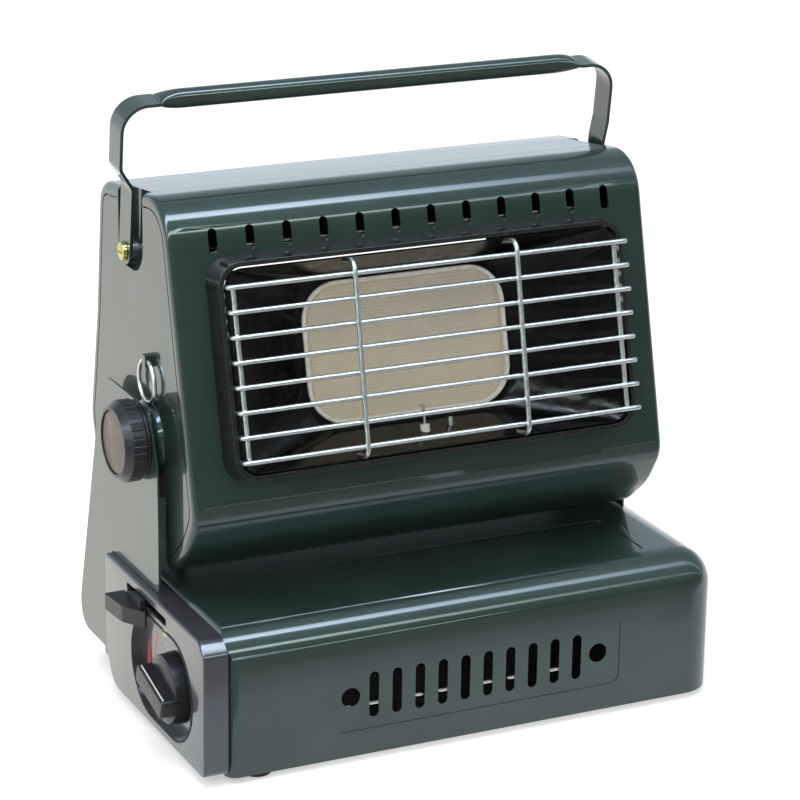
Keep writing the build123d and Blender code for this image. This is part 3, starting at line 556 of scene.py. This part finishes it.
GRIP_LEFT, GRIP_RIGHT, GRIP_FLAT, GRIP_R = -122.5, 120.0, 16.0, 5.8
END_HALF_WIDE, END_HALF_HIGH = 8.8, 1.0
HANDLE_Y, HANDLE_Z, HANDLE_TOP, HANDLE_LEAN = 150.0, 277.0, 370.0, math.radians(7.0)
ends = np.linspace(0, 1, 25)
x = np.concatenate([GRIP_LEFT - GRIP_FLAT * (1 - ends), np.linspace(GRIP_LEFT, GRIP_RIGHT, 42)[1:-1],
                    GRIP_RIGHT + GRIP_FLAT * ends])
far = np.clip(np.maximum(GRIP_LEFT - x, x - GRIP_RIGHT) / GRIP_FLAT, 0, 1)
blend = 1 - np.sqrt(1 - far ** 2.2)
a = np.linspace(0, 2 * math.pi, 48, endpoint=False)
half_wide = GRIP_R + (END_HALF_WIDE - GRIP_R) * blend[:, None]
half_high = GRIP_R + (END_HALF_HIGH - GRIP_R) * blend[:, None]
power = 1.0 - 0.3 * blend[:, None]
from_under = (a + 1.5 * math.pi) % (2 * math.pi) - math.pi
seam = 1 - 0.05 * np.exp(-from_under ** 2 / 0.012) * (1 - blend[:, None])
across = half_wide * np.sign(np.cos(a)) * np.abs(np.cos(a)) ** power * seam
above = half_high * np.sign(np.sin(a)) * np.abs(np.sin(a)) ** power * seam
c, s = math.cos(HANDLE_LEAN), math.sin(HANDLE_LEAN)
high = HANDLE_TOP - END_HALF_HIGH - HANDLE_Z + above
grid = np.stack([x[:, None] + 0 * across, HANDLE_Y + across * c - high * s,
                 HANDLE_Z + across * s + high * c], -1)
grip = skin("handle_grip_smooth", placed(grid), strap_enamel, "handle")
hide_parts("handle_grip")
print("grip", len(grip.data.polygons), "faces")

# %% [markdown]
# Small printed marks sit round the dial: a red wedge that grows towards the high setting, a pink
# stripe at the spark position, short white ticks and a pale yellow mark above the dial. A print
# is a film of ink, so each one is a thin plate that follows an arc about the knob's axis: its
# inner and outer radius change along the arc.

# %% Dial marks
KNOB_Y, KNOB_Z = 55.5, 37.5
DIAL_X, PANEL_X = -161.5, -167.5
INK_MM, SUNK_MM = 0.12, 0.05


def arc_plate(name, start_deg, end_deg, inner, outer, material, x=DIAL_X):
    """Plate on an arc about the knob's axis: at angle t the profile is a thin rectangle between
    the inner and outer radius, each running straight from its first value to its last."""
    t = np.radians(np.linspace(start_deg, end_deg, 24))
    low = np.linspace(inner[0], inner[1], 24)
    high = np.linspace(outer[0], outer[1], 24)
    radius = np.stack([low, high, high, low], -1)
    depth = np.array([x - INK_MM, x - INK_MM, x + SUNK_MM, x + SUNK_MM])
    grid = np.stack([0 * radius + depth, KNOB_Y + radius * np.cos(t)[:, None],
                     KNOB_Z + radius * np.sin(t)[:, None]], -1)
    piece = skin(name, placed(grid), material, "stand")
    for face in piece.data.polygons:
        face.use_smooth = False
    return piece


marks = [arc_plate("mark_red_wedge", -6, 17, (43.0, 46.0), (49.0, 47.5), red_print),
         arc_plate("mark_pink_stripe", 5, 34, (37.0, 37.0), (40.5, 40.5), pink_print),
         arc_plate("mark_yellow", 78, 88, (31.5, 31.5), (36.0, 36.0), yellow_print, PANEL_X)]
for i, angle in enumerate((-22, 50, 180, 205)):
    marks.append(arc_plate("mark_tick_%d" % i, angle - 1.5, angle + 1.5, (24.5, 24.5), (28.5, 28.5),
                           white_print))
print("marks", [mark.name for mark in marks])

# %% [markdown]
# The stage: a plain pale floor that runs out of sight and a white surround. The floor's colour
# is a white paper, and a plain glow that only the camera and mirrors see lifts it to the white
# of the surround, while the object's soft shadow stays on it. For mirrors the paper is bright under
# and behind the heater, and turns dark a short way in front of it, where the room is dark.

# %% Floor
PAPER_NEAR, PAPER_FAR = -0.6, 0.2
MIRROR_GLOW, CAMERA_GLOW, MIRROR_SHARE = 1.4, 0.42, 0.75
floor_mesh = bpy.data.meshes.new("floor")
REACH = 6.0
corners = np.array([[-1, -1, 0], [1, -1, 0], [1, 1, 0], [-1, 1, 0]]) * REACH
floor_mesh.from_pydata(corners.tolist(), [], [(0, 1, 2, 3)])
floor = bpy.data.objects.new("studio_floor", floor_mesh)
bpy.context.scene.collection.objects.link(floor)
paper, tree, shader, where = finish(
    "white_paper_floor", Base_Color="#f4f4f4", Roughness=1.0, Specular_IOR_Level=0.0)
floor_mesh.materials.append(paper)
path = add(tree, "ShaderNodeLightPath")
toward = add(tree, "ShaderNodeSeparateXYZ", {"Vector": where})
level = add(tree, "ShaderNodeMapRange",
            {"Value": toward.outputs["Y"], "From Min": PAPER_NEAR, "From Max": PAPER_FAR})
PAPER_TONES = [(0.0, "#3a4144"), (0.405, "#3f4649"), (0.48, "#c9d8e4"), (0.6, "#cfd9de"),
               (0.85, "#f6f6ef")]
tint = add(tree, "ShaderNodeValToRGB", {"Fac": level.outputs[0]}, PAPER_TONES)
mirror_glow = add(tree, "ShaderNodeEmission", {"Color": tint.outputs[0], "Strength": MIRROR_GLOW})
camera_glow = add(tree, "ShaderNodeEmission", {"Color": (1, 1, 1, 1), "Strength": CAMERA_GLOW})
lifted = add(tree, "ShaderNodeAddShader", {0: shader.outputs[0], 1: camera_glow.outputs[0]})
seen = add(tree, "ShaderNodeMath",
           {0: path.outputs["Is Camera Ray"], 1: path.outputs["Is Transmission Ray"]},
           operation="MAXIMUM").outputs[0]
direct = add(tree, "ShaderNodeMixShader", {0: seen, 1: shader.outputs[0], 2: lifted.outputs[0]})
share = add(tree, "ShaderNodeMath", {0: path.outputs["Is Glossy Ray"], 1: MIRROR_SHARE},
            operation="MULTIPLY").outputs[0]
whole = add(tree, "ShaderNodeMixShader", {0: share, 1: direct.outputs[0], 2: mirror_glow.outputs[0]})
tree.links.new(whole.outputs[0], tree.nodes["Material Output"].inputs["Surface"])
print("floor ready")

# %% [markdown]
# What a glossy enamel shows is the room, so the room gets a shape for mirrors only. Seen from
# the side, an angle in degrees runs from the back horizon over the ceiling to the front horizon: a bright
# wall low at the back, a dim ceiling, two strip lamps above the front and a dark room behind the
# camera. The strips are brighter on the left. For all other light the surround is a
# plain even white.

# %% Surround
world = bpy.data.worlds.new("studio")
bpy.context.scene.world = world
world.use_nodes = True
tree = world.node_tree
tree.nodes.clear()
path = add(tree, "ShaderNodeLightPath")
direction = add(tree, "ShaderNodeTexCoord").outputs["Generated"]
toward = add(tree, "ShaderNodeSeparateXYZ", {"Vector": direction})
rise = add(tree, "ShaderNodeMath", {0: toward.outputs["Z"], 1: toward.outputs["Y"]},
           operation="ARCTAN2").outputs[0]
turn = add(tree, "ShaderNodeMath", {0: rise, 1: math.pi}, operation="DIVIDE").outputs[0]
ROOM = [(0, "#a6afb7"), (13, "#a8b2ba"), (19, "#7f8b90"), (50, "#6b787c"), (57, "#7f8b90"), (64, "#667276"),
        (96, "#667276"), (118, "#5f6e70"), (150, "#4a5456"), (165, "#3c4444"), (180, "#2f3434")]
STRIPS = [(98, "#000000"), (102, "#a4b2c4"), (112, "#bccbe0"), (116, "#000000"),
          (139, "#000000"), (141, "#97a9a4"), (146, "#97a9a4"), (149, "#000000")]
room = add(tree, "ShaderNodeValToRGB", {"Fac": turn}, [(angle / 180, tone) for angle, tone in ROOM])
strips = add(tree, "ShaderNodeValToRGB", {"Fac": turn}, [(angle / 180, tone) for angle, tone in STRIPS])
fade = add(tree, "ShaderNodeMapRange", {"Value": toward.outputs["X"], "From Min": 0.36, "From Max": 0.52,
                                        "To Min": 19.0, "To Max": 2.4}).outputs[0]
walls = add(tree, "ShaderNodeBackground", {"Color": room.outputs[0], "Strength": 2.4})
lights = add(tree, "ShaderNodeBackground", {"Color": strips.outputs[0], "Strength": fade})
mirror = add(tree, "ShaderNodeAddShader", {0: walls.outputs[0], 1: lights.outputs[0]})
plain = add(tree, "ShaderNodeBackground", {"Color": (1, 1, 1, 1), "Strength": 0.6})
white = add(tree, "ShaderNodeBackground", {"Color": (1, 1, 1, 1), "Strength": 1.0})
seen = add(tree, "ShaderNodeMath",
           {0: path.outputs["Is Camera Ray"], 1: path.outputs["Is Transmission Ray"]},
           operation="MAXIMUM").outputs[0]
first = add(tree, "ShaderNodeMixShader",
            {0: path.outputs["Is Glossy Ray"], 1: plain.outputs[0], 2: mirror.outputs[0]})
second = add(tree, "ShaderNodeMixShader", {0: seen, 1: first.outputs[0], 2: white.outputs[0]})
add(tree, "ShaderNodeOutputWorld", {"Surface": second.outputs[0]})
print("surround ready")

# %% [markdown]
# Two big soft lamps give the shapes their light and shade: one overhead and one in front on the
# left. They are hidden from mirrors, because the surround already holds what mirrors see.

# %% Lamps
def lamp(name, place, aim, size, power):
    """A soft square lamp at place, turned towards aim, that glossy coats don't see."""
    data = bpy.data.lights.new(name, "AREA")
    data.shape = "SQUARE"
    data.size = size
    data.energy = power
    made = bpy.data.objects.new(name, data)
    facing = (Vector(aim) - Vector(place)).to_track_quat("-Z", "Y")
    made.matrix_world = Matrix.Translation(place) @ facing.to_matrix().to_4x4()
    made.visible_glossy = False
    bpy.context.scene.collection.objects.link(made)
    return made


lamps = [lamp("overhead", (-0.2, -0.2, 1.9), (0, 0, 0.1), 1.6, 18.0),
         lamp("front_left", (-1.4, -1.6, 1.3), (0, 0, 0.15), 1.0, 12.0)]
print("lamps", [(made.name, made.data.energy) for made in lamps])

# %% [markdown]
# The camera stands to the left of the front and a little above, far enough back that the
# heater looks calm, with a long lens. Its three axes are worked out from a compass turn, a
# rise above the floor and a slight roll.

# %% Camera
TURN, RISE, ROLL = math.radians(-25.82), math.radians(18.63), math.radians(0.86)
back = Vector((math.sin(TURN) * math.cos(RISE), -math.cos(TURN) * math.cos(RISE), math.sin(RISE)))
right = Vector((math.cos(TURN), math.sin(TURN), 0))
up = back.cross(right)
side = right * math.cos(ROLL) + up * math.sin(ROLL)
top = up * math.cos(ROLL) - right * math.sin(ROLL)
camera_data = bpy.data.cameras.new("camera")
camera_data.lens = 139.04
camera_data.sensor_width = 36.0
camera_data.clip_end = 20.0
camera = bpy.data.objects.new("camera", camera_data)
bpy.context.scene.collection.objects.link(camera)
spot = placed([-769.4, -1493.6, 776.0])
camera.matrix_world = Matrix.Translation(spot) @ Matrix((side, top, back)).transposed().to_4x4()
bpy.context.scene.camera = camera
bpy.context.scene.view_settings.view_transform = "Standard"
print("camera at", [round(v, 3) for v in spot])
